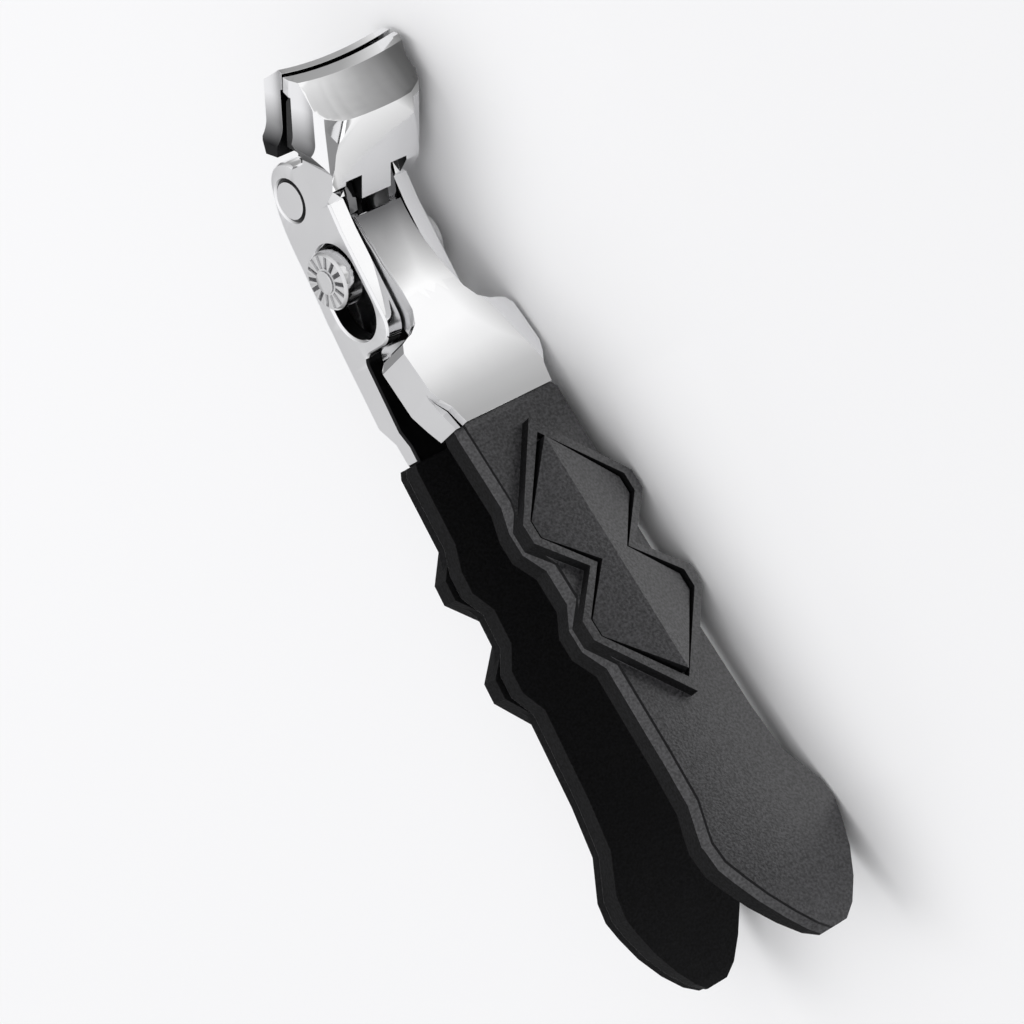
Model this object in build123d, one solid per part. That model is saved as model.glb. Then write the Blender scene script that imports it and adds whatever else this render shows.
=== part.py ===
from build123d import *
import math
import os

# Plier-type nail clipper lying on its right-hand side.
# +X points to the front handle, +Y points to the jaws, +Z is up (the left side of the clipper).
# Everything is drawn about the pivot axis (x = y = 0) and the middle plane (z = 0), then moved
# so that the origin is the middle of the underside of the whole clipper.  Millimetres, degrees.

# ---- driving dimensions ----------------------------------------------------------------------
JAW_LEAN = 42.0          # the jaws lean forward of the handle direction by this angle
JAW_HALF_WIDTH = 8.0     # half the length of the cutting edges
TIP_REACH = 17.1         # pivot axis to cutting edge
EDGE_GAP = 0.45          # opening between the cutting edges at rest
EDGE_SAG = 0.8           # the cutting edges are hollow in the middle by this much
REST_OPEN = 8.6          # angle between the two handles at rest
MIRROR_X = 1.6           # the two handles are mirror images about this plane when parallel

CHEEK_OUT = 5.8          # outer faces of the two cheeks, from the middle plane
CHEEK_IN = 3.7           # inner faces of the two cheeks
CHEEK_FRONT_X = 6.1      # front edge of the cheeks
CHEEK_END_Y = -19.1      # lower end of the cheeks
EDGE_BREAK = 0.25        # small chamfer round the flat steel faces

EAR_OUT = 3.4            # outer faces of the front lever's neck
SHEET = 1.1              # sheet thickness of the front lever
EAR_RADIUS = 7.4         # the ears are rounded about the pivot
TAB_HALF_WIDTH = 2.1     # half the width of the stop tab on the front jaw
STOP_START = -39.0       # angle of the neck's top edge about the pivot at rest
STOP_END = -26.0         # angle of the stop tab's lower edge about the pivot
NOTCH_OUT = 4.4          # the notches beside the stop tab reach this far from the middle plane
NOTCH_TOP = 5.2          # and this far along the jaws

LUG_IN = 1.45            # the rear jaw's two lugs lie against the insides of the ears
LUG_OUT = EAR_OUT - SHEET
LUG_RADIUS = 4.0
RIVET_X = -0.8           # the rivet that joins the lugs to the ears
RIVET_Y = -5.4
RIVET_RADIUS = 1.0

PIN_RADIUS = 2.0
PIN_HEAD_RADIUS = 2.45
PIN_HEAD_DEPTH = 1.1
WASHER_RADIUS = 3.6
RUNNING_FIT = 0.05       # radial clearance of a running fit

SLOT_RADIUS = 3.75       # the lock slot in each cheek
SLOT_X = 1.45
SLOT_TOP_Y = -9.9
LOCK_TRAVEL = 3.9
BUTTON_RADIUS = 3.4
BUTTON_IN = 5.0
BUTTON_OUT = 7.6
BUTTON_GROOVES = 14
LOCK_SHAFT_RADIUS = 1.2
COLLAR_RADIUS = 2.4

NOTCH_WINDOW = [(2.4, -5), (NOTCH_TOP, -5), (NOTCH_TOP, 5), (2.4, 5)]

CATCHER_HALF_WIDTH = 7.2
CATCHER_WALL = 0.7

HOLLOW_END = 15.2        # the hollows behind the cutting lips reach this far from the pivot
SCALLOP_END = 10.2       # the hollows in the jaws' ends have their round end about this point
SCALLOP_RADIUS = 3.6
SCALLOP_DEPTH = 0.95
SCALLOP_TIP_DEPTH = 0.55

SHOULDER_HALF_WIDTH = 8.1
SHOULDER_TOP_Y = -20.9
SHOULDER_BACK_X = 1.0

ARM_REAR = [(-4.75, -20.0), (-4.9, -26.9), (-3.2, -29.4), (-2.9, -32.2)]   # the arm's outlines
ARM_FRONT = [(-0.9, -20.4), (-1.2, -28.2), (-0.5, -30.2), (-0.5, -32.2)]
WEB = 1.3                # thickness of the web between the cheeks
WEB_TOP_Y = -9.6
WEB_END_Y = -21.5

TANG_REAR_X = -2.9       # the rear handle's tang, between these two planes
TANG_FRONT_X = -0.5
FRONT_TANG_BACK_X = 2 * MIRROR_X - TANG_FRONT_X   # back face of the front handle's tang
TANG_HALF_WIDTH = 4.8
TANG_END_Y = -74.0
TANG_HOLE_RADIUS = 1.5
TANG_HOLES_Y = (-42.0, -52.5, -63.0)

GRIP_TOP_Y = -32.2
GRIP_OUTER_X = -4.0      # outer face of the rear grip
TAIL_TIP_Y = -99.0
TAIL_HALF_WIDTH = 8.6
FLUTE_DEPTH = 0.8        # depth of the long grooves between the side walls and the outer face
GRIP_STATIONS = [        # Y, half width, inner face X, outer face X
    (GRIP_TOP_Y, 6.9, 0.4, -3.7),
    (GRIP_TOP_Y - 0.8, 7.1, 0.4, GRIP_OUTER_X),
    (-42.0, 7.0, 0.4, GRIP_OUTER_X),
    (-45.0, 7.9, 0.4, GRIP_OUTER_X),
    (-47.7, 7.9, 0.4, GRIP_OUTER_X),
    (-50.4, 6.3, 0.4, GRIP_OUTER_X),
    (-54.6, 6.3, 0.4, GRIP_OUTER_X),
    (-57.3, 7.9, 0.4, GRIP_OUTER_X),
    (-60.0, 7.9, 0.4, GRIP_OUTER_X),
    (-62.8, 6.3, 0.4, GRIP_OUTER_X),
    (-74.0, 6.5, 0.4, GRIP_OUTER_X),
    (-80.0, 6.9, 0.3, -4.2),
    (-83.4, 8.2, 0.0, -4.6),
    (-84.8, 8.7, -0.2, -4.8),
    (-87.2, 8.7, -0.5, -5.1),
    (-89.5, 7.9, -0.9, -5.4),
    (-92.5, 6.6, -1.4, -5.7),
    (-95.5, 4.8, -1.9, -5.8),
    (-97.8, 3.0, -2.3, -5.6),
    (-99.0, 1.5, -2.8, -5.2),
]

RELIEF_TOP_Y = -35.0
RELIEF_END_Y = -70.0
RELIEF_HALF_WIDTH = 8.1
RELIEF_RIDGE_HEIGHT = 1.5
RELIEF_CREASE_HEIGHT = 2.3
RELIEF_PANEL_HEIGHT = 0.7
RELIEF_BORDER = 1.1
RELIEF_GROOVE = 0.45

COIL_RADIUS = 2.75
COIL_WIRE_RADIUS = 0.33
COIL_TURNS = 4
COIL_PITCH = 0.6
COIL_LEG_LENGTH = 5.0
COIL_LEG_JAW_ANGLE = -42.0     # the leg that pushes the front jaw leaves the coil at this angle
COIL_LEG_RIVET_ANGLE = -59.5   # the leg that pushes the jaw rivet leaves the coil at this angle


# ---- helpers ---------------------------------------------------------------------------------
def jaw_point(along, outward):
    """A point of the jaws: distance from the pivot along the jaws, and distance in front."""
    lean = math.radians(JAW_LEAN)
    x = along * math.sin(lean) + outward * math.cos(lean)
    y = along * math.cos(lean) - outward * math.sin(lean)
    return (x, y)


def polar(radius, angle):
    return (radius * math.cos(math.radians(angle)), radius * math.sin(math.radians(angle)))


def plate(points, z_low, z_high):
    """A flat piece with the given outline, between two heights."""
    face = make_face(Polyline(*points, close=True))
    return Pos(0, 0, z_low) * extrude(face, amount=z_high - z_low)


def disc(x, y, radius, z_low, z_high):
    return Pos(x, y, (z_low + z_high) / 2) * Cylinder(radius, z_high - z_low)


def ring_sector(radius_in, radius_out, angle_low, angle_high, z_low, z_high):
    """Part of a ring about the pivot axis."""
    middle = (angle_low + angle_high) / 2
    angles = (angle_low, middle, angle_high)
    outer = ThreePointArc(*(polar(radius_out, angle) for angle in angles))
    inner = ThreePointArc(*(polar(radius_in, angle) for angle in reversed(angles)))
    side_high = Line(outer @ 1, inner @ 0)
    side_low = Line(inner @ 1, outer @ 0)
    face = make_face([outer, side_high, inner, side_low])
    return Pos(0, 0, z_low) * extrude(face, amount=z_high - z_low)


def stadium(x, y_high, y_low, radius, z_low, z_high):
    """A round-ended bar, used for slots along Y."""
    length = y_high - y_low + 2 * radius
    face = Pos(x, (y_high + y_low) / 2) * Rot(0, 0, 90) * SlotOverall(length, 2 * radius)
    return Pos(0, 0, z_low) * extrude(face, amount=z_high - z_low)


def both_sides(shape):
    """The shape and its mirror image on the other side of the middle plane."""
    return shape + mirror(shape, about=Plane.XY)


def open_front(shape):
    """Turn a piece of the front handle, drawn parallel to the rear handle, to its rest angle."""
    return Rot(0, 0, REST_OPEN) * shape


def mirror_handle(shape):
    """The front handle's copy of a piece of the rear handle."""
    return open_front(mirror(shape, about=Plane.YZ.offset(MIRROR_X)))


# ---- jaws ------------------------------------------------------------------------------------
JAW_ALONG = Vector(*jaw_point(1, 0))
JAW_OUTWARD = Vector(*jaw_point(0, 1))


def across_jaw(points, reach):
    """A bar along the jaws with the given section, as (outward, height) points."""
    frame = Plane(origin=(0, 0, 0), x_dir=JAW_OUTWARD, z_dir=-JAW_ALONG)
    return extrude(frame * make_face(Polyline(*points, close=True)), amount=reach, both=True)


def along_jaw(points, reach):
    """A bar square to the jaws with the given outline, as (along, height) points."""
    frame = Plane(origin=(0, 0, 0), x_dir=JAW_ALONG, z_dir=JAW_OUTWARD)
    return extrude(frame * make_face(Polyline(*points, close=True)), amount=reach, both=True)


def edge_cutter(edges):
    """Everything past the hollow tips of the jaws: a section swept about an axis in front of them."""
    radius = (JAW_HALF_WIDTH ** 2 + EDGE_SAG ** 2) / (2 * EDGE_SAG)
    centre = TIP_REACH - EDGE_SAG + radius
    axis = Axis(jaw_point(centre, 0), JAW_OUTWARD)
    start, end = edges[0] @ 0, edges[-1] @ 1
    far_end = jaw_point(centre - 1, 12)
    far_start = jaw_point(centre - 1, -12)
    closing = Polyline(end, far_end, far_start, start)
    return revolve(make_face(edges + [closing]), axis, 360)


def front_edge_cutter():
    """Flat lip, then a hollow scoop down to the front face."""
    tip = TIP_REACH - EDGE_SAG
    lip = Line(jaw_point(tip, -12), jaw_point(tip - 0.15, 3.9))
    scoop = ThreePointArc(jaw_point(tip - 0.15, 3.9), jaw_point(tip - 2.35, 5.75), jaw_point(tip - 3.6, 8.3))
    exit_line = Line(jaw_point(tip - 3.6, 8.3), jaw_point(tip - 3.9, 12))
    return edge_cutter([lip, scoop, exit_line])


def rear_edge_cutter():
    """Flat lip, then a bevel down to the rear face."""
    tip = TIP_REACH - EDGE_SAG
    bevel = Polyline(jaw_point(tip - 2.3, -12), jaw_point(tip - 2.1, -2.1), jaw_point(tip + 0.1, 0.5))
    lip = Line(jaw_point(tip + 0.1, 0.5), jaw_point(tip, 12))
    return edge_cutter([bevel, lip])


def scallops(outward):
    """The two round-bottomed hollows ground into the ends of a jaw, shallower at the cutting edge."""
    length = TIP_REACH + 2 - SCALLOP_END
    lean = math.degrees(math.atan((SCALLOP_DEPTH - SCALLOP_TIP_DEPTH) / length))
    bar = Pos(0, 0, length / 2) * Cylinder(SCALLOP_RADIUS, length)
    cutter = Rot(0, 0, -JAW_LEAN) * Rot(-90 + lean, 0, 0) * (bar + Sphere(SCALLOP_RADIUS))
    x, y = jaw_point(SCALLOP_END, outward)
    return both_sides(Pos(x, y, JAW_HALF_WIDTH + SCALLOP_RADIUS - SCALLOP_DEPTH) * cutter)


def make_jaw_block():
    """The front jaw: cutting lip, scooped face, front face and the underside above the cheeks."""
    lip = EDGE_GAP / 2
    outline = [
        jaw_point(TIP_REACH + 1, 1.75 + lip),
        jaw_point(TIP_REACH + 1, 8.4),
        jaw_point(13.3, 8.3),
        jaw_point(9.0, 8.0),
        jaw_point(4.7, 7.95),
        (6.6, -2.7),
        (5.6, -2.7),
        (5.2, 1.6),
        jaw_point(7.6, 3.0),
        jaw_point(HOLLOW_END - 0.4, 3.0),
        jaw_point(HOLLOW_END, 1.75 + lip),
    ]
    block = plate(outline, -JAW_HALF_WIDTH, JAW_HALF_WIDTH)
    block -= front_edge_cutter()
    wide = JAW_HALF_WIDTH + 1
    taper = [(4.2, JAW_HALF_WIDTH), (6.0, 7.5), (7.4, 6.8), (9.4, 5.2), (9.4, wide), (4.2, wide)]
    block -= both_sides(across_jaw(taper, 30))
    # the corners of the front face have two facets each, wider at the top than at the cheeks
    upper = corner_point(13.4, 8.2, 4.9)
    lower = corner_point(5.0, 7.9, 6.4)
    block -= both_sides(facet_cutter(upper, lower, corner_point(13.0, 7.5, 6.5)))
    block -= both_sides(facet_cutter(lower, upper, corner_point(13.6, 8.35, 2.2)))
    block -= scallops(5.0)
    # below the jaw the block narrows to the width of the cheeks
    neck = CHEEK_OUT + 0.5
    flare = [(9.3, JAW_HALF_WIDTH), (6.6, neck), (-4, neck), (-4, wide), (9.3, wide)]
    block -= both_sides(along_jaw(flare, 12))
    return block


def corner_point(along, outward, height):
    """A point of the jaws in space."""
    x, y = jaw_point(along, outward)
    return Vector(x, y, height)


def facet_cutter(first, second, third):
    """Everything in front of the plane through three points."""
    along = second - first
    facet = Plane(first, x_dir=along, z_dir=along.cross(third - first))
    return facet * Pos(0, 0, -10) * Box(60, 60, 20)


def make_stop_tab():
    outline = [
        jaw_point(6.0, 7.96),
        polar(8.25, STOP_END),
        polar(6.5, STOP_END),
        polar(6.5, 6.0),
    ]
    return plate(outline, -TAB_HALF_WIDTH, TAB_HALF_WIDTH)


def make_side():
    """The left side of the rear lever: a cheek with the lock slot, and the side of the arm."""
    rear_edge = Spline(*ARM_REAR[:1], (-4.75, -16.5), (-4.3, -9.0), (-3.6, -1.5), (-2.3, 2.1))
    crown = ThreePointArc((-2.3, 2.1), (0.2, 4.2), (3.3, 3.0))
    front = Polyline((3.3, 3.0), (5.4, 2.8), (7.3, 3.7), (7.6, 0.2), (CHEEK_FRONT_X + 0.4, -2.0),
                     (CHEEK_FRONT_X, -6.0), (CHEEK_FRONT_X, -16.1))
    toe = ThreePointArc((CHEEK_FRONT_X, -16.1), (5.3, -18.2), (3.1, CHEEK_END_Y))
    foot = ThreePointArc((0.4, CHEEK_END_Y), (-0.5, -19.5), ARM_FRONT[0])
    arm = Polyline(*ARM_FRONT, *reversed(ARM_REAR))
    face = make_face([rear_edge, crown, front, toe, Line(toe @ 1, foot @ 0), foot, arm])
    side = Pos(0, 0, CHEEK_IN) * extrude(face, amount=CHEEK_OUT - CHEEK_IN)
    side -= stadium(SLOT_X, SLOT_TOP_Y, SLOT_TOP_Y - LOCK_TRAVEL, SLOT_RADIUS, CHEEK_IN - 1, CHEEK_OUT + 1)
    side -= disc(0, 0, PIN_HEAD_RADIUS, CHEEK_OUT - PIN_HEAD_DEPTH, CHEEK_OUT + 1)
    outer_face = side.faces().sort_by(Axis.Z)[-1]
    return chamfer(outer_face.edges(), EDGE_BREAK)


def make_rear_tang():
    """The flat steel tongue inside the rear grip, with keying holes for the plastic."""
    outline = [
        (-TANG_HALF_WIDTH, GRIP_TOP_Y + 1),
        (TANG_HALF_WIDTH, GRIP_TOP_Y + 1),
        (TANG_HALF_WIDTH, TANG_END_Y + 8),
        (TANG_HALF_WIDTH - 2, TANG_END_Y),
        (2 - TANG_HALF_WIDTH, TANG_END_Y),
        (-TANG_HALF_WIDTH, TANG_END_Y + 8),
    ]
    # drawn in the front view (height across, Y along) and given its thickness along X
    frame = Plane(origin=(TANG_REAR_X, 0, 0), x_dir=(0, 0, 1), z_dir=(-1, 0, 0))
    face = make_face(Polyline(*outline, close=True))
    tang = extrude(frame * face, amount=TANG_REAR_X - TANG_FRONT_X)
    for hole_y in TANG_HOLES_Y:
        tang -= Pos(TANG_REAR_X, hole_y, 0) * Rot(0, 90, 0) * Cylinder(TANG_HOLE_RADIUS, 8)
    return tang


def make_arm_core():
    """The middle of the arm between its two sides, and the web that joins the cheeks at the back."""
    back = [(-4.4, WEB_END_Y), (-4.0, WEB_TOP_Y)]
    front = [(x + WEB, y) for x, y in reversed(back)]
    overlap = CHEEK_IN + 0.3
    core = ARM_FRONT + list(reversed(ARM_REAR))
    return plate(core, -CHEEK_IN, CHEEK_IN) + plate(back + front, -overlap, overlap)


def make_rear_lever():
    """Front jaw, cheeks, arm and tang in one forging."""
    lever = make_jaw_block() + both_sides(make_side()) + make_arm_core() + make_stop_tab()
    # room for the front lever's ears, and the two notches that open through the front face
    lever -= both_sides(disc(0, 0, EAR_RADIUS + 0.4, TAB_HALF_WIDTH, CHEEK_IN))
    notch = [jaw_point(NOTCH_TOP, 6.0), jaw_point(NOTCH_TOP, 9.5), (9.5, -4.5), (6.2, -4.5)]
    lever -= both_sides(plate(notch, TAB_HALF_WIDTH, CHEEK_IN))
    lever -= both_sides(plate(notch, TAB_HALF_WIDTH, NOTCH_OUT) & along_jaw(NOTCH_WINDOW, 20))
    # room for the jaw lugs and the return spring
    lever -= disc(0, 0, 6.4, -TAB_HALF_WIDTH - 0.01, TAB_HALF_WIDTH + 0.01)
    lever += make_rear_tang()
    lever -= disc(0, 0, PIN_RADIUS, -CHEEK_OUT - 1, CHEEK_OUT + 1)
    return lever


def make_rear_jaw():
    """The moving jaw: cutting lip, blade and two lugs that reach down past the pivot."""
    lip = EDGE_GAP / 2
    outline = [
        jaw_point(TIP_REACH + 1, 1.75 - lip),
        jaw_point(TIP_REACH + 1, -1.75),
        jaw_point(7.8, -1.75),
        jaw_point(6.3, -1.2),
        jaw_point(6.6, 0.75),
        jaw_point(HOLLOW_END - 0.5, 0.75),
        jaw_point(HOLLOW_END, 1.75 - lip),
    ]
    jaw = plate(outline, -JAW_HALF_WIDTH, JAW_HALF_WIDTH) - rear_edge_cutter()
    jaw -= scallops(-0.2)
    stem = [jaw_point(8.0, -1.7), jaw_point(3.2, -2.6), jaw_point(3.2, 1.6), jaw_point(8.0, 0.6)]
    jaw += plate(stem, -LUG_OUT, LUG_OUT)
    lug = disc(0, 0, LUG_RADIUS, LUG_IN, LUG_OUT)
    foot = 1.8
    tail = [(0.4 - LUG_RADIUS, 0.0), (LUG_RADIUS - 1.2, 0.0), (RIVET_X + foot, RIVET_Y),
            (RIVET_X - foot, RIVET_Y)]
    lug += plate(tail, LUG_IN, LUG_OUT) + disc(RIVET_X, RIVET_Y, foot, LUG_IN, LUG_OUT)
    jaw += both_sides(lug)
    # the return spring's coil turns between the lugs
    jaw -= disc(0, 0, LUG_RADIUS + 0.1, -LUG_IN, LUG_IN)
    jaw -= disc(0, 0, PIN_RADIUS + RUNNING_FIT, -JAW_HALF_WIDTH, JAW_HALF_WIDTH)
    jaw -= disc(RIVET_X, RIVET_Y, RIVET_RADIUS, -JAW_HALF_WIDTH, JAW_HALF_WIDTH)
    return jaw


# ---- front lever -----------------------------------------------------------------------------
def neck_front_points():
    """The front surface of the front lever, from the neck's top edge to the grip, drawn parallel."""
    return [(5.55, -5.9), (5.3, -9.0), (5.4, -12.0), (5.8, -15.0), (6.2, -18.0), (6.45, -21.0),
            (6.75, -24.0), (7.0, -27.0), (7.2, -30.0), (7.35, GRIP_TOP_Y)]


def front_skin(half_width, y_high, y_low):
    """The sheet that forms the front of the lever, between two heights, to one half width."""
    outer = Spline(*neck_front_points())
    points_in = [(x - SHEET, y) for x, y in neck_front_points()]
    inner = Spline(*points_in)
    ends = [Line(outer @ 0, inner @ 0), Line(outer @ 1, inner @ 1)]
    skin = extrude(make_face([outer, inner] + ends), amount=half_width, both=True)
    keep = Pos(5, (y_high + y_low) / 2, 0) * Box(30, y_high - y_low, 2 * half_width + 2)
    return skin & keep


def front_outline(foot):
    """The front lever seen from the front, as a closed outline (height, Y), with the given foot."""
    right = [
        (EAR_OUT, -4.0), (3.1, -9.5), (EAR_OUT, -15.5), (3.8, -18.2), (4.6, -19.8),
        (5.8, SHOULDER_TOP_Y + 0.25), (6.6, SHOULDER_TOP_Y), (7.5, SHOULDER_TOP_Y - 0.4),
        (SHOULDER_HALF_WIDTH, SHOULDER_TOP_Y - 1.4),
    ] + foot
    left = [(-across, along) for across, along in reversed(right)]
    frame = Plane(origin=(0, 0, 0), x_dir=(0, 0, 1), z_dir=(-1, 0, 0))
    return extrude(frame * make_face(Polyline(*right, *left, close=True)), amount=20, both=True)


def make_front_lever():
    """Sheet-steel lever: two ears, channel neck, box shoulder and tang in one pressing."""
    plate_foot = [(SHOULDER_HALF_WIDTH, -27.4), (7.6, -28.7), (6.8, -30.0), (6.3, GRIP_TOP_Y)]
    wall_foot = [(SHOULDER_HALF_WIDTH, -28.0), (7.6, -30.4), (7.1, GRIP_TOP_Y)]
    lever = front_skin(SHOULDER_HALF_WIDTH, -5.0, GRIP_TOP_Y) & front_outline(plate_foot)
    # neck walls, open at the back where the lock shaft moves
    wall_front = [(x - 0.3, y) for x, y in neck_front_points() if y > SHOULDER_TOP_Y]
    wall_back = [(5.6, SHOULDER_TOP_Y), (2.6, SHOULDER_TOP_Y), (2.0, -16.0), (1.75, -14.0),
                 (1.75, -9.5), (0.6, -8.3)]
    ear = [(-2.9, -7.2), (-3.9, -5.0), (-4.1, -1.0), (0.0, 0.0)]
    lever += both_sides(plate(wall_front + wall_back + ear, LUG_OUT, EAR_OUT))
    # box shoulder: two side walls and a top wall, open at the back
    side = [(SHOULDER_BACK_X + 0.8, SHOULDER_TOP_Y), (5.9, SHOULDER_TOP_Y), (6.0, GRIP_TOP_Y),
            (2.2, GRIP_TOP_Y), (SHOULDER_BACK_X + 0.4, -28.3), (SHOULDER_BACK_X, SHOULDER_TOP_Y - 0.9)]
    shoulder = plate(side, -SHOULDER_HALF_WIDTH, SHOULDER_HALF_WIDTH) & front_outline(wall_foot)
    hollow_half_width = 5.7
    hollow = [(SHOULDER_BACK_X - 1, SHOULDER_TOP_Y - 1.3), (5.6, SHOULDER_TOP_Y - 1.3),
              (5.9, GRIP_TOP_Y - 1), (SHOULDER_BACK_X - 1, GRIP_TOP_Y - 1)]
    lever += shoulder - plate(hollow, -hollow_half_width, hollow_half_width)
    lever += mirror(make_rear_tang(), about=Plane.YZ.offset(MIRROR_X))
    lever = open_front(lever)
    # the top edge of the neck is cut radially: it meets the stop tab when the jaws are fully open
    lever -= ring_sector(6.35, EAR_RADIUS + 3, STOP_START, 20.0, -EAR_OUT - 1, EAR_OUT + 1)
    # the ears, rounded about the pivot, drawn at the rest angle
    ear = disc(0, 0, 4.2, LUG_OUT, EAR_OUT)
    ear += ring_sector(0.5, EAR_RADIUS, STOP_START - 4, -4.0, LUG_OUT, EAR_OUT)
    lever += both_sides(ear)
    lever -= disc(0, 0, PIN_RADIUS + RUNNING_FIT, -EAR_OUT - 1, EAR_OUT + 1)
    lever -= disc(RIVET_X, RIVET_Y, RIVET_RADIUS, -EAR_OUT - 1, EAR_OUT + 1)
    return lever


# ---- small pieces ----------------------------------------------------------------------------
def make_pivot_pin():
    pin = disc(0, 0, PIN_RADIUS, -CHEEK_OUT, CHEEK_OUT)
    head = disc(0, 0, PIN_HEAD_RADIUS, CHEEK_OUT - PIN_HEAD_DEPTH, CHEEK_OUT)
    head = chamfer(head.edges().group_by(Axis.Z)[-1], EDGE_BREAK)
    return pin + both_sides(head)


def make_pivot_washer():
    """Thin washer between an ear and a cheek."""
    hole = disc(0, 0, PIN_RADIUS + RUNNING_FIT, EAR_OUT - 1, CHEEK_IN + 1)
    return disc(0, 0, WASHER_RADIUS, EAR_OUT, CHEEK_IN) - hole


def make_jaw_rivet():
    """Joins the jaw lugs to the neck walls."""
    return disc(RIVET_X, RIVET_Y, RIVET_RADIUS, -EAR_OUT, EAR_OUT)


def make_return_spring():
    """Torsion spring round the pivot pin, one leg on the front jaw and one on the jaw rivet."""
    top = COIL_PITCH * (COIL_TURNS - 1) / 2
    # the legs start a little inside the coil and are a hair thicker, so that the wire is one solid
    leg = Rot(90, 0, 0) * Cylinder(COIL_WIRE_RADIUS + 0.01, COIL_LEG_LENGTH)
    middle = COIL_LEG_LENGTH / 2 - 0.3
    spring = Rot(0, 0, COIL_LEG_JAW_ANGLE) * Pos(COIL_RADIUS, middle, top) * leg
    spring += Rot(0, 0, COIL_LEG_RIVET_ANGLE) * Pos(COIL_RADIUS, -middle, -top) * leg
    for turn in range(COIL_TURNS):
        spring += Pos(0, 0, turn * COIL_PITCH - top) * Torus(COIL_RADIUS, COIL_WIRE_RADIUS)
    return spring


def make_lock_shaft():
    return disc(SLOT_X, SLOT_TOP_Y, LOCK_SHAFT_RADIUS, 1.0 - BUTTON_OUT, BUTTON_OUT - 1.0)


def make_lock_collar():
    """Grooved sleeve that runs in the slot behind the button."""
    low = CHEEK_IN + 0.15
    collar = disc(SLOT_X, SLOT_TOP_Y, COLLAR_RADIUS, low, BUTTON_IN)
    groove_z = (low + BUTTON_IN) / 2
    groove = disc(SLOT_X, SLOT_TOP_Y, COLLAR_RADIUS + 1, groove_z - 0.15, groove_z + 0.15)
    groove -= disc(SLOT_X, SLOT_TOP_Y, COLLAR_RADIUS - 0.3, groove_z - 1, groove_z + 1)
    return collar - groove - disc(SLOT_X, SLOT_TOP_Y, LOCK_SHAFT_RADIUS, low - 1, BUTTON_IN + 1)


def make_lock_button():
    """Round button with a plain hub and radial grooves cut into its face."""
    button = disc(0, 0, BUTTON_RADIUS, BUTTON_IN, BUTTON_OUT - 0.25)
    top_edge = button.edges().group_by(Axis.Z)[-1]
    button = chamfer(top_edge, 0.3)
    for index in range(BUTTON_GROOVES):
        groove = Pos(2.3, 0, BUTTON_OUT - 0.25) * Box(1.5, 0.5, 0.9)
        button -= Rot(0, 0, index * 360 / BUTTON_GROOVES) * groove
    button += disc(0, 0, 1.35, BUTTON_OUT - 0.5, BUTTON_OUT)
    button -= disc(0, 0, LOCK_SHAFT_RADIUS, BUTTON_IN - 1, BUTTON_OUT - 1.0)
    return Pos(SLOT_X, SLOT_TOP_Y, 0) * button


def make_nail_catcher():
    """Black plastic tray in the hollow of the front jaw; its trough faces the rear jaw."""
    low = 7.9
    high = HOLLOW_END - 0.45
    back = 3.0
    mouth = 1.45
    outline = [jaw_point(low, mouth), jaw_point(low, back), jaw_point(high, back), jaw_point(high, 2.3),
               jaw_point(high - 1.2, mouth)]
    trough = [jaw_point(low + CATCHER_WALL, mouth - 1), jaw_point(low + CATCHER_WALL, back - CATCHER_WALL),
              jaw_point(high + 1, back - CATCHER_WALL), jaw_point(high + 1, mouth - 1)]
    inside = CATCHER_HALF_WIDTH - CATCHER_WALL
    return plate(outline, -CATCHER_HALF_WIDTH, CATCHER_HALF_WIDTH) - plate(trough, -inside, inside)


# ---- grips -----------------------------------------------------------------------------------
def relief_outline(inset):
    """The double-diamond outline, moved inwards by a distance."""
    middle = (RELIEF_TOP_Y + RELIEF_END_Y) / 2
    wide = RELIEF_HALF_WIDTH - inset
    tip = 1.7 * inset
    waist = 3.4 - inset
    upper = [(0.0, RELIEF_TOP_Y - tip), (wide, middle + 7.3), (wide, middle + 4.9 + 0.2 * inset),
             (waist, middle)]
    lower = [(across, 2 * middle - along) for across, along in reversed(upper[:-1])]
    right = upper + lower
    left = [(-across, along) for across, along in reversed(right[1:-1])]
    return right + left


def across_face(points, x):
    """A face in the plane x = constant, from (height, Y) points."""
    frame = Plane(origin=(x, 0, 0), x_dir=(0, 0, 1), z_dir=(-1, 0, 0))
    return frame * make_face(Polyline(*points, close=True))


def make_relief():
    """Raised border, groove and two-facet panel on the outer face of the rear grip."""
    ridge = extrude(across_face(relief_outline(0.0), GRIP_OUTER_X + 1), amount=1 + RELIEF_RIDGE_HEIGHT)
    ridge -= extrude(across_face(relief_outline(RELIEF_BORDER), GRIP_OUTER_X - 0.4), amount=5)
    panel = extrude(across_face(relief_outline(RELIEF_BORDER + RELIEF_GROOVE), GRIP_OUTER_X + 1), amount=5)
    slope = RELIEF_CREASE_HEIGHT - RELIEF_PANEL_HEIGHT
    roof_points = [
        (GRIP_OUTER_X + 1, -RELIEF_HALF_WIDTH),
        (GRIP_OUTER_X + 1, RELIEF_HALF_WIDTH),
        (GRIP_OUTER_X - RELIEF_PANEL_HEIGHT, RELIEF_HALF_WIDTH),
        (GRIP_OUTER_X - RELIEF_PANEL_HEIGHT - slope, 0.0),
        (GRIP_OUTER_X - RELIEF_PANEL_HEIGHT, -RELIEF_HALF_WIDTH),
    ]
    frame = Plane(origin=(0, RELIEF_END_Y, 0), x_dir=(1, 0, 0), z_dir=(0, -1, 0))
    roof = extrude(frame * make_face(Polyline(*roof_points, close=True)), amount=RELIEF_END_Y - RELIEF_TOP_Y)
    return ridge + (panel & roof)


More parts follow.
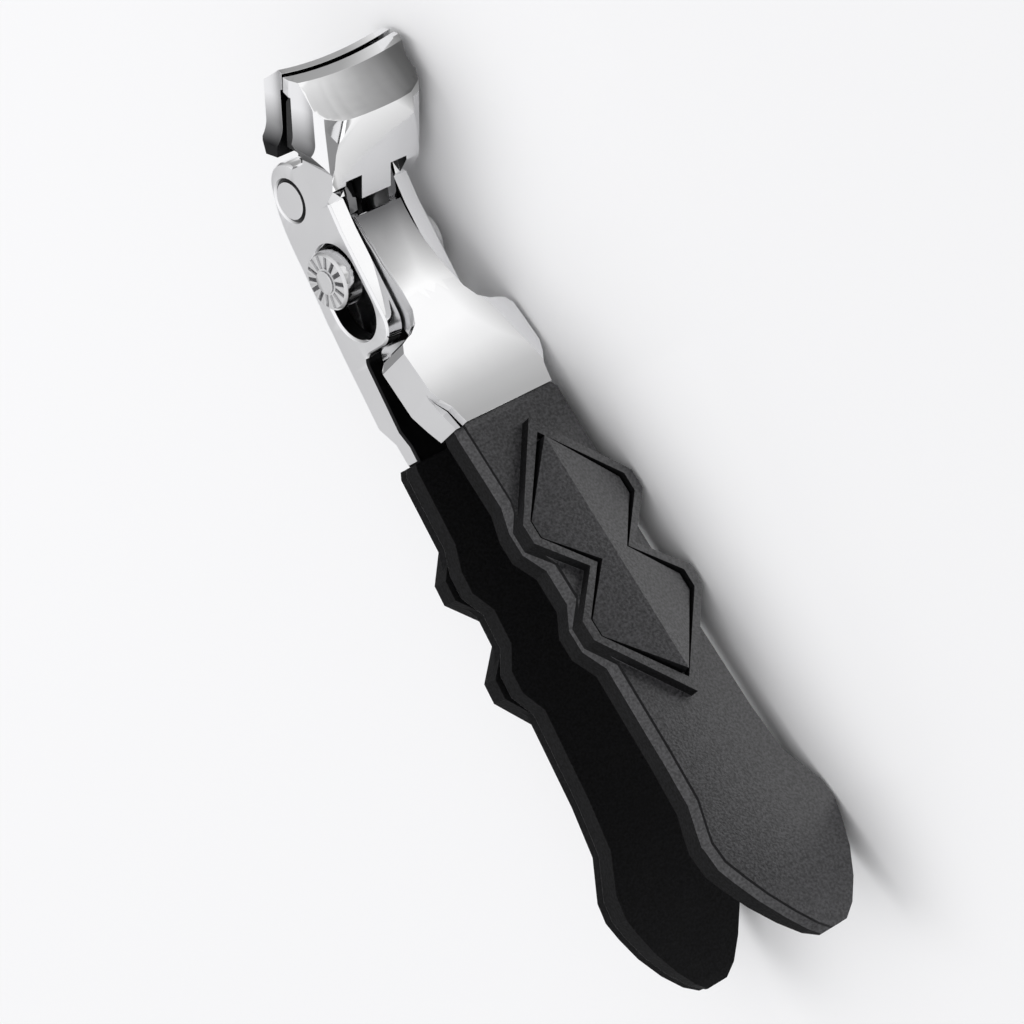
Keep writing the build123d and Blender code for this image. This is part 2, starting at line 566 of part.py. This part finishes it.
def grip_section(y, half_width, inner, outer):
    """Section of the rear grip at one height: flat inner side, side walls, flutes and outer side."""
    right = [(inner, half_width), (outer + 1.9, half_width), (outer + 1.0, half_width - FLUTE_DEPTH),
             (outer, half_width - FLUTE_DEPTH / 2)]
    left = [(x, -across) for x, across in reversed(right)]
    frame = Plane(origin=(0, y, 0), x_dir=(1, 0, 0), z_dir=(0, -1, 0))
    return frame * make_face(Polyline(*right, *left, close=True))


def make_rear_grip():
    """Moulded plastic handle over the rear tang."""
    grip = loft([grip_section(*station) for station in GRIP_STATIONS], ruled=True) + make_relief()
    # the widest part of the tail has flat sides to lie on
    grip &= Pos(0, (GRIP_TOP_Y + TAIL_TIP_Y) / 2, 0) * Box(40, 80, 2 * TAIL_HALF_WIDTH)
    return grip - make_rear_tang()


# ---- assembly --------------------------------------------------------------------------------
def make_nodes():
    left_washer = make_pivot_washer()
    left_collar = make_lock_collar()
    left_button = make_lock_button()
    rear_grip = make_rear_grip()
    return {
        "rear_lever": make_rear_lever(),
        "rear_grip": rear_grip,
        "nail_catcher": make_nail_catcher(),
        "pivot_pin": make_pivot_pin(),
        "pivot_washer_left": left_washer,
        "pivot_washer_right": mirror(left_washer, about=Plane.XY),
        "return_spring": make_return_spring(),
        "front_lever": make_front_lever(),
        "rear_jaw": make_rear_jaw(),
        "jaw_rivet": make_jaw_rivet(),
        "front_grip": mirror_handle(rear_grip),
        "lock_shaft": make_lock_shaft(),
        "lock_collar_left": left_collar,
        "lock_collar_right": mirror(left_collar, about=Plane.XY),
        "lock_button_left": left_button,
        "lock_button_right": mirror(left_button, about=Plane.XY),
    }


def main():
    nodes = make_nodes()
    box = Compound(list(nodes.values())).bounding_box()
    shift = Pos(-(box.min.X + box.max.X) / 2, -(box.min.Y + box.max.Y) / 2, -box.min.Z)
    os.makedirs("parts", exist_ok=True)
    for name, shape in nodes.items():
        export_step(shift * shape, f"parts/{name}.step")
    pivot = shift.position
    print("pivot axis at", round(pivot.X, 3), round(pivot.Y, 3), "middle plane at z", round(pivot.Z, 3))
    print("size", round(box.size.X, 2), round(box.size.Y, 2), round(box.size.Z, 2))


main()
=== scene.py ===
import math

import bpy
from mathutils import Matrix, Vector


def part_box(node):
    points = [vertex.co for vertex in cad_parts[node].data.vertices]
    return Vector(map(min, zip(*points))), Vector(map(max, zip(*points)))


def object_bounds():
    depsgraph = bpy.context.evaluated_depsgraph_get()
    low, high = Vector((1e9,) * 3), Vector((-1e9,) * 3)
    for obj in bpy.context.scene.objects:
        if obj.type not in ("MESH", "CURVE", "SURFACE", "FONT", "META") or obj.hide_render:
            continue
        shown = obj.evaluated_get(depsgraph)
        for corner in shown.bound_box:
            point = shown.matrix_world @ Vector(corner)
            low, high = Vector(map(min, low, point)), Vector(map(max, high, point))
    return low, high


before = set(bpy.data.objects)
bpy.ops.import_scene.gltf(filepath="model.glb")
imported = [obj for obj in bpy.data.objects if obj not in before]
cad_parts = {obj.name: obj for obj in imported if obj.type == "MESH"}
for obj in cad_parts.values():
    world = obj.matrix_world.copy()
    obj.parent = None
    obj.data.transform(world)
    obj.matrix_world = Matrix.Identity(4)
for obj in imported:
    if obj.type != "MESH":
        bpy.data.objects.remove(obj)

cad_low, cad_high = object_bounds()

MM = 0.001

# The pivot axis and the middle plane, from the pivot pin
pin_low, pin_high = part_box("pivot_pin")
PIVOT = (pin_low + pin_high) / 2


def from_pivot(x, y, z):
    """A point given in millimetres from the pivot, in the row frame."""
    return PIVOT + Vector((x, y, z)) * MM


# ---- materials -------------------------------------------------------------------------------
GRINDING = 260.0         # scale of the noise that draws grinding lines
POLISH = 120.0           # scale of the slow change of polish
PLAIN = (1, 1, 1)        # noise that is the same along every axis


class Shader:
    """A principled material with short calls for the nodes that the finishes share."""

    def __init__(self, name):
        self.material = bpy.data.materials.new(name)
        self.material.use_nodes = True
        self.tree = self.material.node_tree
        self.principled = self.tree.nodes["Principled BSDF"]
        self.coords = self.tree.nodes.new("ShaderNodeTexCoord").outputs["Object"]

    def set(self, **values):
        for key, value in values.items():
            self.principled.inputs[key.replace("_", " ")].default_value = value

    def stretched(self, scale):
        """Object coordinates scaled by a different amount along each axis."""
        mapping = self.tree.nodes.new("ShaderNodeMapping")
        mapping.inputs["Scale"].default_value = scale
        self.tree.links.new(self.coords, mapping.inputs["Vector"])
        return mapping.outputs["Vector"]

    def noise(self, scale, detail=3.0, stretch=PLAIN):
        node = self.tree.nodes.new("ShaderNodeTexNoise")
        node.inputs["Scale"].default_value = scale
        node.inputs["Detail"].default_value = detail
        self.tree.links.new(self.stretched(stretch), node.inputs["Vector"])
        return node.outputs["Fac"]

    def ranged(self, value, low, high, from_low=0.0, from_high=1.0):
        node = self.tree.nodes.new("ShaderNodeMapRange")
        node.inputs["From Min"].default_value = from_low
        node.inputs["From Max"].default_value = from_high
        node.inputs["To Min"].default_value = low
        node.inputs["To Max"].default_value = high
        self.tree.links.new(value, node.inputs["Value"])
        return node.outputs["Result"]

    def mixed(self, value, color_low, color_high):
        node = self.tree.nodes.new("ShaderNodeMix")
        node.data_type = "RGBA"
        node.inputs[6].default_value = (*color_low, 1)
        node.inputs[7].default_value = (*color_high, 1)
        self.tree.links.new(value, node.inputs[0])
        return node.outputs[2]

    def feed(self, value, socket):
        self.tree.links.new(value, self.principled.inputs[socket])

    def bump(self, height, strength, distance):
        """Relief of the surface; the distance is in millimetres."""
        node = self.tree.nodes.new("ShaderNodeBump")
        node.inputs["Strength"].default_value = strength
        node.inputs["Distance"].default_value = distance * MM
        self.tree.links.new(height, node.inputs["Height"])
        self.feed(node.outputs["Normal"], "Normal")


def steel(name, bright, dark, roughness, streak):
    """Stainless steel: faint grinding lines across the piece and a slow change of polish."""
    shader = Shader(name)
    shader.set(Metallic=1.0)
    patches = shader.noise(POLISH, detail=2.0)
    shader.feed(shader.mixed(patches, dark, bright), "Base Color")
    lines = shader.noise(GRINDING, stretch=streak)
    shader.feed(shader.ranged(lines, roughness * 0.75, roughness * 1.3), "Roughness")
    shader.bump(lines, strength=0.06, distance=0.01)
    return shader.material


def shade_painted_steel(name, direction, fade, dark_to_bright, roughness):
    """Steel with painted shade: its colour fades from one tone to another between two distances from
    the pivot.
    """
    shader = Shader(name)
    shader.set(Metallic=1.0, Roughness=roughness)
    along = shader.tree.nodes.new("ShaderNodeVectorMath")
    along.operation = "DOT_PRODUCT"
    along.inputs[1].default_value = direction
    shader.tree.links.new(shader.coords, along.inputs[0])
    start, end = (PIVOT.dot(direction) + distance * MM for distance in fade)
    shade = shader.ranged(along.outputs["Value"], 0.0, 1.0, start, end)
    shader.feed(shader.mixed(shade, *dark_to_bright), "Base Color")
    shader.bump(shader.noise(GRINDING, stretch=(0.3, 0.3, 2)), strength=0.05, distance=0.01)
    return shader.material


def moulded_plastic(name, bright, dark, roughness, grain, gloss):
    """Matte moulded plastic with a fine spark-eroded grain."""
    shader = Shader(name)
    shader.set(Specular_IOR_Level=gloss)
    pits = shader.noise(grain, detail=2.0)
    contrast = shader.ranged(pits, 0.0, 1.0, 0.32, 0.68)
    shader.feed(shader.mixed(contrast, dark, bright), "Base Color")
    patches = shader.noise(grain * 0.1)
    shader.feed(shader.ranged(patches, roughness * 0.88, roughness * 1.12), "Roughness")
    shader.bump(pits, strength=0.8, distance=0.08)
    return shader.material


JAW_LEAN = math.radians(42.0)
ALONG_JAWS = Vector((math.sin(JAW_LEAN), math.cos(JAW_LEAN), 0))
BEFORE_JAWS = Vector((math.cos(JAW_LEAN), -math.sin(JAW_LEAN), 0))
ALONG_HANDLE = Vector((0, 1, 0))

# Where the painted shade fades, in millimetres from the pivot along each direction
HOLLOW_FADE = (7.8, 13.6)
NECK_FADE = (-15.0, -5.5)

MIRROR = steel("mirror_steel", (0.90, 0.90, 0.905), (0.83, 0.83, 0.84), 0.06, (1, 0.2, 3))
SATIN = steel("satin_steel", (0.78, 0.78, 0.785), (0.68, 0.68, 0.69), 0.30, (0.25, 3, 3))
BUTTON = steel("button_steel", (0.80, 0.80, 0.80), (0.64, 0.64, 0.65), 0.14, PLAIN)
# Painted shade: the dark floors of the lock buttons' grooves.
GROOVE_SHADE = steel("groove_painted_shade", (0.20, 0.20, 0.205), (0.10, 0.10, 0.105), 0.35, PLAIN)
WIRE = steel("spring_wire", (0.42, 0.42, 0.43), (0.30, 0.30, 0.31), 0.28, PLAIN)
# Painted shade: near-black steel on the gaps, slots and insides of the levers, where shade falls.
RECESS_SHADE = steel("recess_painted_shade", (0.030, 0.030, 0.031), (0.012, 0.012, 0.013), 0.42, PLAIN)
# Painted shade on the jaws' hollows: dark at their low end, bright towards the lips.
HOLLOW_SHADE = shade_painted_steel(
    "hollow_painted_shade", ALONG_JAWS, HOLLOW_FADE,
    ((0.015, 0.015, 0.016), (0.80, 0.80, 0.81)), 0.32)
# Painted shade on the neck: dark at its top, fading to bright down the neck.
NECK_SHADE = shade_painted_steel(
    "neck_painted_shade", ALONG_HANDLE, NECK_FADE,
    ((0.90, 0.90, 0.905), (0.16, 0.16, 0.165)), 0.08)
GRIP_FACE = moulded_plastic(
    "grip_plastic", (0.060, 0.059, 0.063), (0.012, 0.012, 0.013), 0.40, 3300.0, 0.60)
# Painted shade: the grips' side walls and inner faces, the same plastic painted much darker.
GRIP_SIDE_SHADE = moulded_plastic(
    "grip_side_painted_shade_plastic", (0.009, 0.009, 0.010), (0.003, 0.003, 0.003), 0.70, 3300.0, 0.12)
CATCHER = moulded_plastic(
    "catcher_plastic", (0.010, 0.010, 0.011), (0.004, 0.004, 0.004), 0.34, 2500.0, 0.3)


# ---- which faces of a piece have which finish ------------------------------------------------
# Places are in millimetres from the pivot. A face's direction is a vector of length 1.
HOLLOW_LOW = 7.0         # lower end of the hollows in the jaws' ends, along the jaws
HOLLOW_REACH = 2.7       # half the width of a hollow
FRONT_HOLLOW = 5.0       # middle lines of the hollows, in front of the pivot
REAR_HOLLOW = -0.2
EAR_ROOM = 8.0           # radius of the room for the front lever's ears
CHEEK_INSIDE = 3.75
NOTCH_TOP = 5.3
NOTCH_FRONT = 5.5
NOTCH_SIDE = 4.5
SLOT_X = 1.45
SLOT_RADIUS = 3.8
SLOT_START = -6.0
SLOT_END = -17.7
SLOT_INSIDE = 3.65       # the slot's walls start at this distance from the middle plane
ARM_TOP = -19.3
GRIP_TOP = -32.3
LIP_START = 15.6
LIP_BACK = 3.3           # the gap behind the front jaw's lip
LIP_GAP_LOW = 6.5
NECK_TOP = -16.0
NECK_FRONT = 4.0
LUG_SIDE = 2.35
LUG_TOP = 8.0
PIN_RING = 2.5
BUTTON_HUB = (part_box("lock_button_left")[1].z - PIVOT.z) / MM
GROOVE_DEPTH = 0.5       # the grooves' floors are more than this below the hub
PARTING_X = 1.6          # the plane between the two grips
PARTING_SLOPE = -0.075

SQUARE = 0.9             # a face turned this much towards a direction is square to it
NEARLY_SQUARE = 0.8
MOSTLY = 0.7
HALFWAY = 0.5
SLIGHTLY = 0.3
GRIP_OUTWARD = 0.35
TURN_TOLERANCE = 0.02


def in_hollow(place, normal, middle):
    """True on the hollow in a jaw's end, whose faces turn towards the hollow's middle line."""
    off_middle = place.dot(BEFORE_JAWS) - middle
    turned_in = off_middle * normal.dot(BEFORE_JAWS) <= TURN_TOLERANCE
    beside = abs(off_middle) < HOLLOW_REACH and abs(normal.z) > MOSTLY
    return place.dot(ALONG_JAWS) > HOLLOW_LOW and beside and turned_in


def plain_steel(normal):
    """Satin on the flat sides and mirror-polished elsewhere."""
    return SATIN if abs(normal.z) > SQUARE else MIRROR


def rear_lever_painted_shade(place, normal):
    """True in the hollow places of the rear lever, which get painted shade (near-black steel)."""
    along = place.dot(ALONG_JAWS)
    before = place.dot(BEFORE_JAWS)
    facing = normal.dot(BEFORE_JAWS)
    radius = math.hypot(place.x, place.y)
    height = abs(place.z)
    by_slot = abs(place.x - SLOT_X) < SLOT_RADIUS and SLOT_END < place.y < SLOT_START
    by_lip = LIP_GAP_LOW < along < LIP_START and before < LIP_BACK
    by_notch = along < NOTCH_TOP and before > NOTCH_FRONT and height < NOTCH_SIDE

    ear_room = radius < EAR_ROOM and height < CHEEK_INSIDE and facing < NEARLY_SQUARE
    notch_walls = by_notch and facing < HALFWAY
    slot_walls = by_slot and height > SLOT_INSIDE and abs(normal.z) < HALFWAY
    arm_front = GRIP_TOP < place.y < ARM_TOP and normal.x > SLIGHTLY
    lip_back = by_lip and facing < -HALFWAY
    pin_ring = radius < PIN_RING and height > CHEEK_INSIDE and abs(normal.z) < SQUARE
    return ear_room or notch_walls or slot_walls or arm_front or lip_back or pin_ring


def finish_rear_lever(place, normal):
    """Satin sides, hollow-ground jaw ends with a painted shade that fades along the jaws, and painted
    shade in the recesses of a mirror-polished forging.
    """
    if rear_lever_painted_shade(place, normal):
        return RECESS_SHADE
    return HOLLOW_SHADE if in_hollow(place, normal, FRONT_HOLLOW) else plain_steel(normal)


def finish_rear_jaw(place, normal):
    """Painted shade between the lugs and in front, below the cutting lip; the hollow-ground ends get
    a painted shade that fades along the jaw.
    """
    along = place.dot(ALONG_JAWS)
    between_lugs = abs(place.z) < LUG_SIDE and along < LUG_TOP
    if between_lugs or (normal.dot(BEFORE_JAWS) > HALFWAY and along < LIP_START):
        return RECESS_SHADE
    low_end = along < LUG_TOP and abs(normal.z) > HALFWAY
    return HOLLOW_SHADE if low_end or in_hollow(place, normal, REAR_HOLLOW) else plain_steel(normal)


def finish_front_lever(place, normal):
    """The inside of the channel and of the box shoulder gets painted shade, and the neck's top a
    painted shade that fades to bright down the neck.
    """
    if normal.x < -SLIGHTLY and place.y > GRIP_TOP:
        return RECESS_SHADE
    if normal.x > MOSTLY and place.y > NECK_TOP and place.x > NECK_FRONT:
        return NECK_SHADE
    return plain_steel(normal)


def finish_pin(place, normal):
    """Satin ends and painted shade on the round side, which shows as a dark ring about the head."""
    return SATIN if abs(normal.z) > SQUARE else RECESS_SHADE


def finish_button(place, normal):
    """The floors of a lock button's radial grooves get painted shade, darker than its face."""
    sunk = BUTTON_HUB - abs(place.z) > GROOVE_DEPTH
    return GROOVE_SHADE if sunk and normal.z * place.z > SQUARE * abs(place.z) else BUTTON


def finish_grip(place, normal):
    """Grained outer faces; the side walls and inner faces are smoother, and painted darker as shade.
    """
    outside = 1 if place.x > PARTING_X + PARTING_SLOPE * place.y else -1
    return GRIP_FACE if normal.x * outside > GRIP_OUTWARD else GRIP_SIDE_SHADE


EDGE_TURN = 24           # edges that turn by more than this many degrees are rounded
CREASE_TURN = 18         # the same on the grips, where the relief has a shallow crease
WELD_DISTANCE = 0.002    # in millimetres
FLAT_FACE_WEIGHT = 80

# node: (its finish or the function that chooses it face by face, rounding in mm, least turn)
PIECES = {
    "rear_lever": (finish_rear_lever, 0.12, EDGE_TURN),
    "front_lever": (finish_front_lever, 0.12, EDGE_TURN),
    "rear_jaw": (finish_rear_jaw, 0.08, EDGE_TURN),
    "pivot_pin": (finish_pin, 0.04, EDGE_TURN),
    "pivot_washer_left": (SATIN, 0.04, EDGE_TURN),
    "pivot_washer_right": (SATIN, 0.04, EDGE_TURN),
    "jaw_rivet": (SATIN, 0.05, EDGE_TURN),
    "return_spring": (WIRE, 0.0, EDGE_TURN),
    "lock_shaft": (SATIN, 0.05, EDGE_TURN),
    "lock_collar_left": (SATIN, 0.05, EDGE_TURN),
    "lock_collar_right": (SATIN, 0.05, EDGE_TURN),
    "lock_button_left": (finish_button, 0.06, EDGE_TURN),
    "lock_button_right": (finish_button, 0.06, EDGE_TURN),
    "nail_catcher": (CATCHER, 0.1, EDGE_TURN),
    "rear_grip": (finish_grip, 0.3, CREASE_TURN),
    "front_grip": (finish_grip, 0.3, CREASE_TURN),
}


def finish_faces(mesh, choose):
    """Gives every face of a carried-over piece the finish that its place and direction call for."""
    slots = {}
    mesh.materials.clear()
    for polygon in mesh.polygons:
        finish = choose((polygon.center - PIVOT) / MM, polygon.normal)
        if finish.name not in slots:
            slots[finish.name] = len(mesh.materials)
            mesh.materials.append(finish)
        polygon.material_index = slots[finish.name]


def soften(node, width, least_turn):
    """Rounds the edges of a carried-over piece."""
    for polygon in node.data.polygons:
        polygon.use_smooth = True
    weld = node.modifiers.new("weld", "WELD")
    weld.merge_threshold = WELD_DISTANCE * MM
    if width > 0:
        bevel = node.modifiers.new("edges", "BEVEL")
        bevel.width = width * MM
        bevel.segments = 3
        bevel.limit_method = "ANGLE"
        bevel.angle_limit = math.radians(least_turn)
        bevel.harden_normals = False
    normals = node.modifiers.new("normals", "WEIGHTED_NORMAL")
    normals.keep_sharp = False
    normals.weight = FLAT_FACE_WEIGHT


for node_name, (finish, rounding, least_turn) in PIECES.items():
    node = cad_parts[node_name]
    if callable(finish):
        finish_faces(node.data, finish)
    else:
        node.data.materials.clear()
        node.data.materials.append(finish)
    soften(node, rounding, least_turn)


# ---- floor, camera and light -----------------------------------------------------------------
def sheet(name, low, high, z):
    """A flat rectangle parallel to the floor; the corners are given in metres."""
    mesh = bpy.data.meshes.new(name)
    corners = [(low[0], low[1], z), (high[0], low[1], z), (high[0], high[1], z), (low[0], high[1], z)]
    mesh.from_pydata(corners, [], [(0, 1, 2, 3)])
    mesh.update()
    made = bpy.data.objects.new(name, mesh)
    bpy.context.scene.collection.objects.link(made)
    return made


FLOOR_HALF = 6.0
FLOOR_Z = cad_low.z - 0.1 * MM
floor = sheet("floor", (-FLOOR_HALF, -FLOOR_HALF), (FLOOR_HALF, FLOOR_HALF), FLOOR_Z)
paper = Shader("floor_paper")
mottle = paper.noise(3.0, detail=2.0)
paper.feed(paper.mixed(mottle, (0.85, 0.85, 0.855), (0.88, 0.88, 0.885)), "Base Color")
paper.set(Roughness=0.95, Specular_IOR_Level=0.1)
floor.data.materials.append(paper.material)

CAMERA_PLACE = (412.3, -40.2, 283.0)    # in millimetres from the pivot
CAMERA_AZIMUTH = 0.207   # degrees: where the camera stands round the clipper, from its front
CAMERA_RISE = 34.653     # how far it looks down
CAMERA_ROLL = -116.935   # how far it is rolled about its line of sight
CAMERA_LENS = 158.2
CAMERA_SENSOR = 36.0

camera_data = bpy.data.cameras.new("camera")
camera_data.lens = CAMERA_LENS
camera_data.sensor_width = CAMERA_SENSOR
camera_data.clip_start = 0.05
camera_data.clip_end = 50.0
camera = bpy.data.objects.new("camera", camera_data)
bpy.context.scene.collection.objects.link(camera)
about = Matrix.Rotation(math.radians(90 + CAMERA_AZIMUTH), 4, "Z")
down = Matrix.Rotation(math.radians(90 - CAMERA_RISE), 4, "X")
roll = Matrix.Rotation(math.radians(CAMERA_ROLL), 4, "Z")
camera.matrix_world = Matrix.Translation(from_pivot(*CAMERA_PLACE)) @ about @ down @ roll
bpy.context.scene.camera = camera

# A soft round light aimed at the middle of the clipper, which polished steel doesn't mirror
KEY_OFFSET = Vector((-0.25, 0.35, 0.75))
KEY_SIZE = 0.7
KEY_POWER = 2.0

key_data = bpy.data.lights.new("key", "AREA")
key_data.shape = "DISK"
key_data.size = KEY_SIZE
key_data.energy = KEY_POWER
key = bpy.data.objects.new("key", key_data)
bpy.context.scene.collection.objects.link(key)
key.location = (cad_low + cad_high) / 2 + KEY_OFFSET
key.rotation_mode = "QUATERNION"
key.rotation_quaternion = (-KEY_OFFSET).to_track_quat("-Z", "Y")
key.visible_glossy = False


# ---- cards that only reflections show: the light and dark bands of a studio ------------------
# Bands are pairs of a distance in millimetres and the brightness there.
CARD_Z = FLOOR_Z + 0.3 * MM
CARD_SLANT = 0.5         # the side card's bands slant by this much per unit across
SLANTED_BANDS = [(-45.0, 0.40), (-36.0, 0.48), (-33.0, 0.60), (-28.0, 0.95), (-24.0, 1.10)]
NEAR_BANDS = [(13.2, 0.72), (17.5, 1.10)]
SPOT = (17.0, 8.0)       # middle of a round dark patch, in millimetres from the pivot
SPOT_BANDS = [(0.0, 0.10), (2.5, 0.14), (8.0, 0.42), (14.0, 1.10)]
TIP_BANDS = [(17.0, 0.85), (22.0, 0.42), (34.0, 0.30), (50.0, 0.70)]
GRIP_BANDS = [(17.0, 1.30), (34.0, 1.50), (38.0, 0.08), (110.0, 0.02)]


def brightness_ramp(tree, value, bands, zero):
    """Brightness along a length: the bands are in millimetres, the value and the zero in metres."""
    start, end = bands[0][0], bands[-1][0]
    place = tree.nodes.new("ShaderNodeMapRange")
    place.inputs["From Min"].default_value = zero + start * MM
    place.inputs["From Max"].default_value = zero + end * MM
    tree.links.new(value, place.inputs["Value"])
    ramp = tree.nodes.new("ShaderNodeValToRGB")
    elements = ramp.color_ramp.elements
    elements.remove(elements[1])
    for distance, brightness in bands:
        position = (distance - start) / (end - start)
        element = elements.new(position) if position > 0 else elements[0]
        element.color = (brightness, brightness, brightness, 1)
    tree.links.new(place.outputs["Result"], ramp.inputs["Fac"])
    return ramp.outputs["Color"]


def vector_value(tree, operation, coords, other):
    """One number from the coordinates and a fixed vector."""
    node = tree.nodes.new("ShaderNodeVectorMath")
    node.operation = operation
    node.inputs[1].default_value = other
    tree.links.new(coords, node.inputs[0])
    return node.outputs["Value"]


def axis_value(tree, coords, axis):
    """One axis of the coordinates."""
    node = tree.nodes.new("ShaderNodeSeparateXYZ")
    tree.links.new(coords, node.inputs["Vector"])
    return node.outputs[axis]


def darker(tree, first, second):
    """The lower of two brightnesses."""
    node = tree.nodes.new("ShaderNodeMath")
    node.operation = "MINIMUM"
    tree.links.new(first, node.inputs[0])
    tree.links.new(second, node.inputs[1])
    return node.outputs["Value"]


def side_card_brightness(tree, coords):
    """Slanted bands and one round dark patch, dimmer close to the clipper."""
    slanted = vector_value(tree, "DOT_PRODUCT", coords, (-CARD_SLANT, 1.0, 0.0))
    bands = brightness_ramp(tree, slanted, SLANTED_BANDS, PIVOT.y - CARD_SLANT * PIVOT.x)
    near = brightness_ramp(tree, axis_value(tree, coords, "X"), NEAR_BANDS, PIVOT.x)
    middle = from_pivot(*SPOT, 0)
    from_spot = vector_value(tree, "DISTANCE", coords, (middle.x, middle.y, CARD_Z))
    spot = brightness_ramp(tree, from_spot, SPOT_BANDS, 0.0)
    return darker(tree, darker(tree, bands, spot), near)


def tip_card_brightness(tree, coords):
    """Grey in front of the cutting edges."""
    return brightness_ramp(tree, axis_value(tree, coords, "Y"), TIP_BANDS, PIVOT.y)


def grip_card_brightness(tree, coords):
    """Bright beside the grips and dark farther away, which tells the relief's facets apart."""
    return brightness_ramp(tree, axis_value(tree, coords, "X"), GRIP_BANDS, PIVOT.x)


# name, two opposite corners in millimetres from the pivot, and how it is painted
CARDS = [
    ("side_card", (13.2, -34, 0), (45, 35, 0), side_card_brightness),
    ("grip_card", (17, -85, 0), (110, -34, 0), grip_card_brightness),
    ("far_card", (45, -34, 0), (110, 5, 0), grip_card_brightness),
    ("tip_card", (-12, 17, 0), (13.2, 50, 0), tip_card_brightness),
]

for card_name, card_low, card_high, paint in CARDS:
    card = sheet(card_name, from_pivot(*card_low), from_pivot(*card_high), CARD_Z)
    material = bpy.data.materials.new(card_name + "_glow")
    material.use_nodes = True
    tree = material.node_tree
    tree.nodes.remove(tree.nodes["Principled BSDF"])
    coords = tree.nodes.new("ShaderNodeTexCoord").outputs["Object"]
    glow = tree.nodes.new("ShaderNodeEmission")
    tree.links.new(paint(tree, coords), glow.inputs["Strength"])
    tree.links.new(glow.outputs["Emission"], tree.nodes["Material Output"].inputs["Surface"])
    card.data.materials.append(material)
    card.visible_camera = False
    card.visible_diffuse = False
    card.visible_transmission = False
    card.visible_shadow = False


# ---- the sky, grey at the horizon and white overhead -----------------------------------------
SKY_COLOR = (0.975, 0.975, 0.985, 1)
HORIZON = 0.26
OVERHEAD = 1.10
OVERHEAD_RISE = 0.9      # the sky is fully bright above this height on a sphere of radius 1

world = bpy.data.worlds.new("studio")
bpy.context.scene.world = world
world.use_nodes = True
sky = world.node_tree
toward = sky.nodes.new("ShaderNodeSeparateXYZ")
sky.links.new(sky.nodes.new("ShaderNodeTexCoord").outputs["Generated"], toward.inputs["Vector"])
rise = sky.nodes.new("ShaderNodeMapRange")
rise.interpolation_type = "SMOOTHSTEP"
rise.inputs["From Min"].default_value = 0.0
rise.inputs["From Max"].default_value = OVERHEAD_RISE
rise.inputs["To Min"].default_value = HORIZON
rise.inputs["To Max"].default_value = OVERHEAD
sky.links.new(toward.outputs["Z"], rise.inputs["Value"])
background = sky.nodes["Background"]
background.inputs["Color"].default_value = SKY_COLOR
sky.links.new(rise.outputs["Result"], background.inputs["Strength"])
bpy.context.scene.view_settings.view_transform = "Standard"
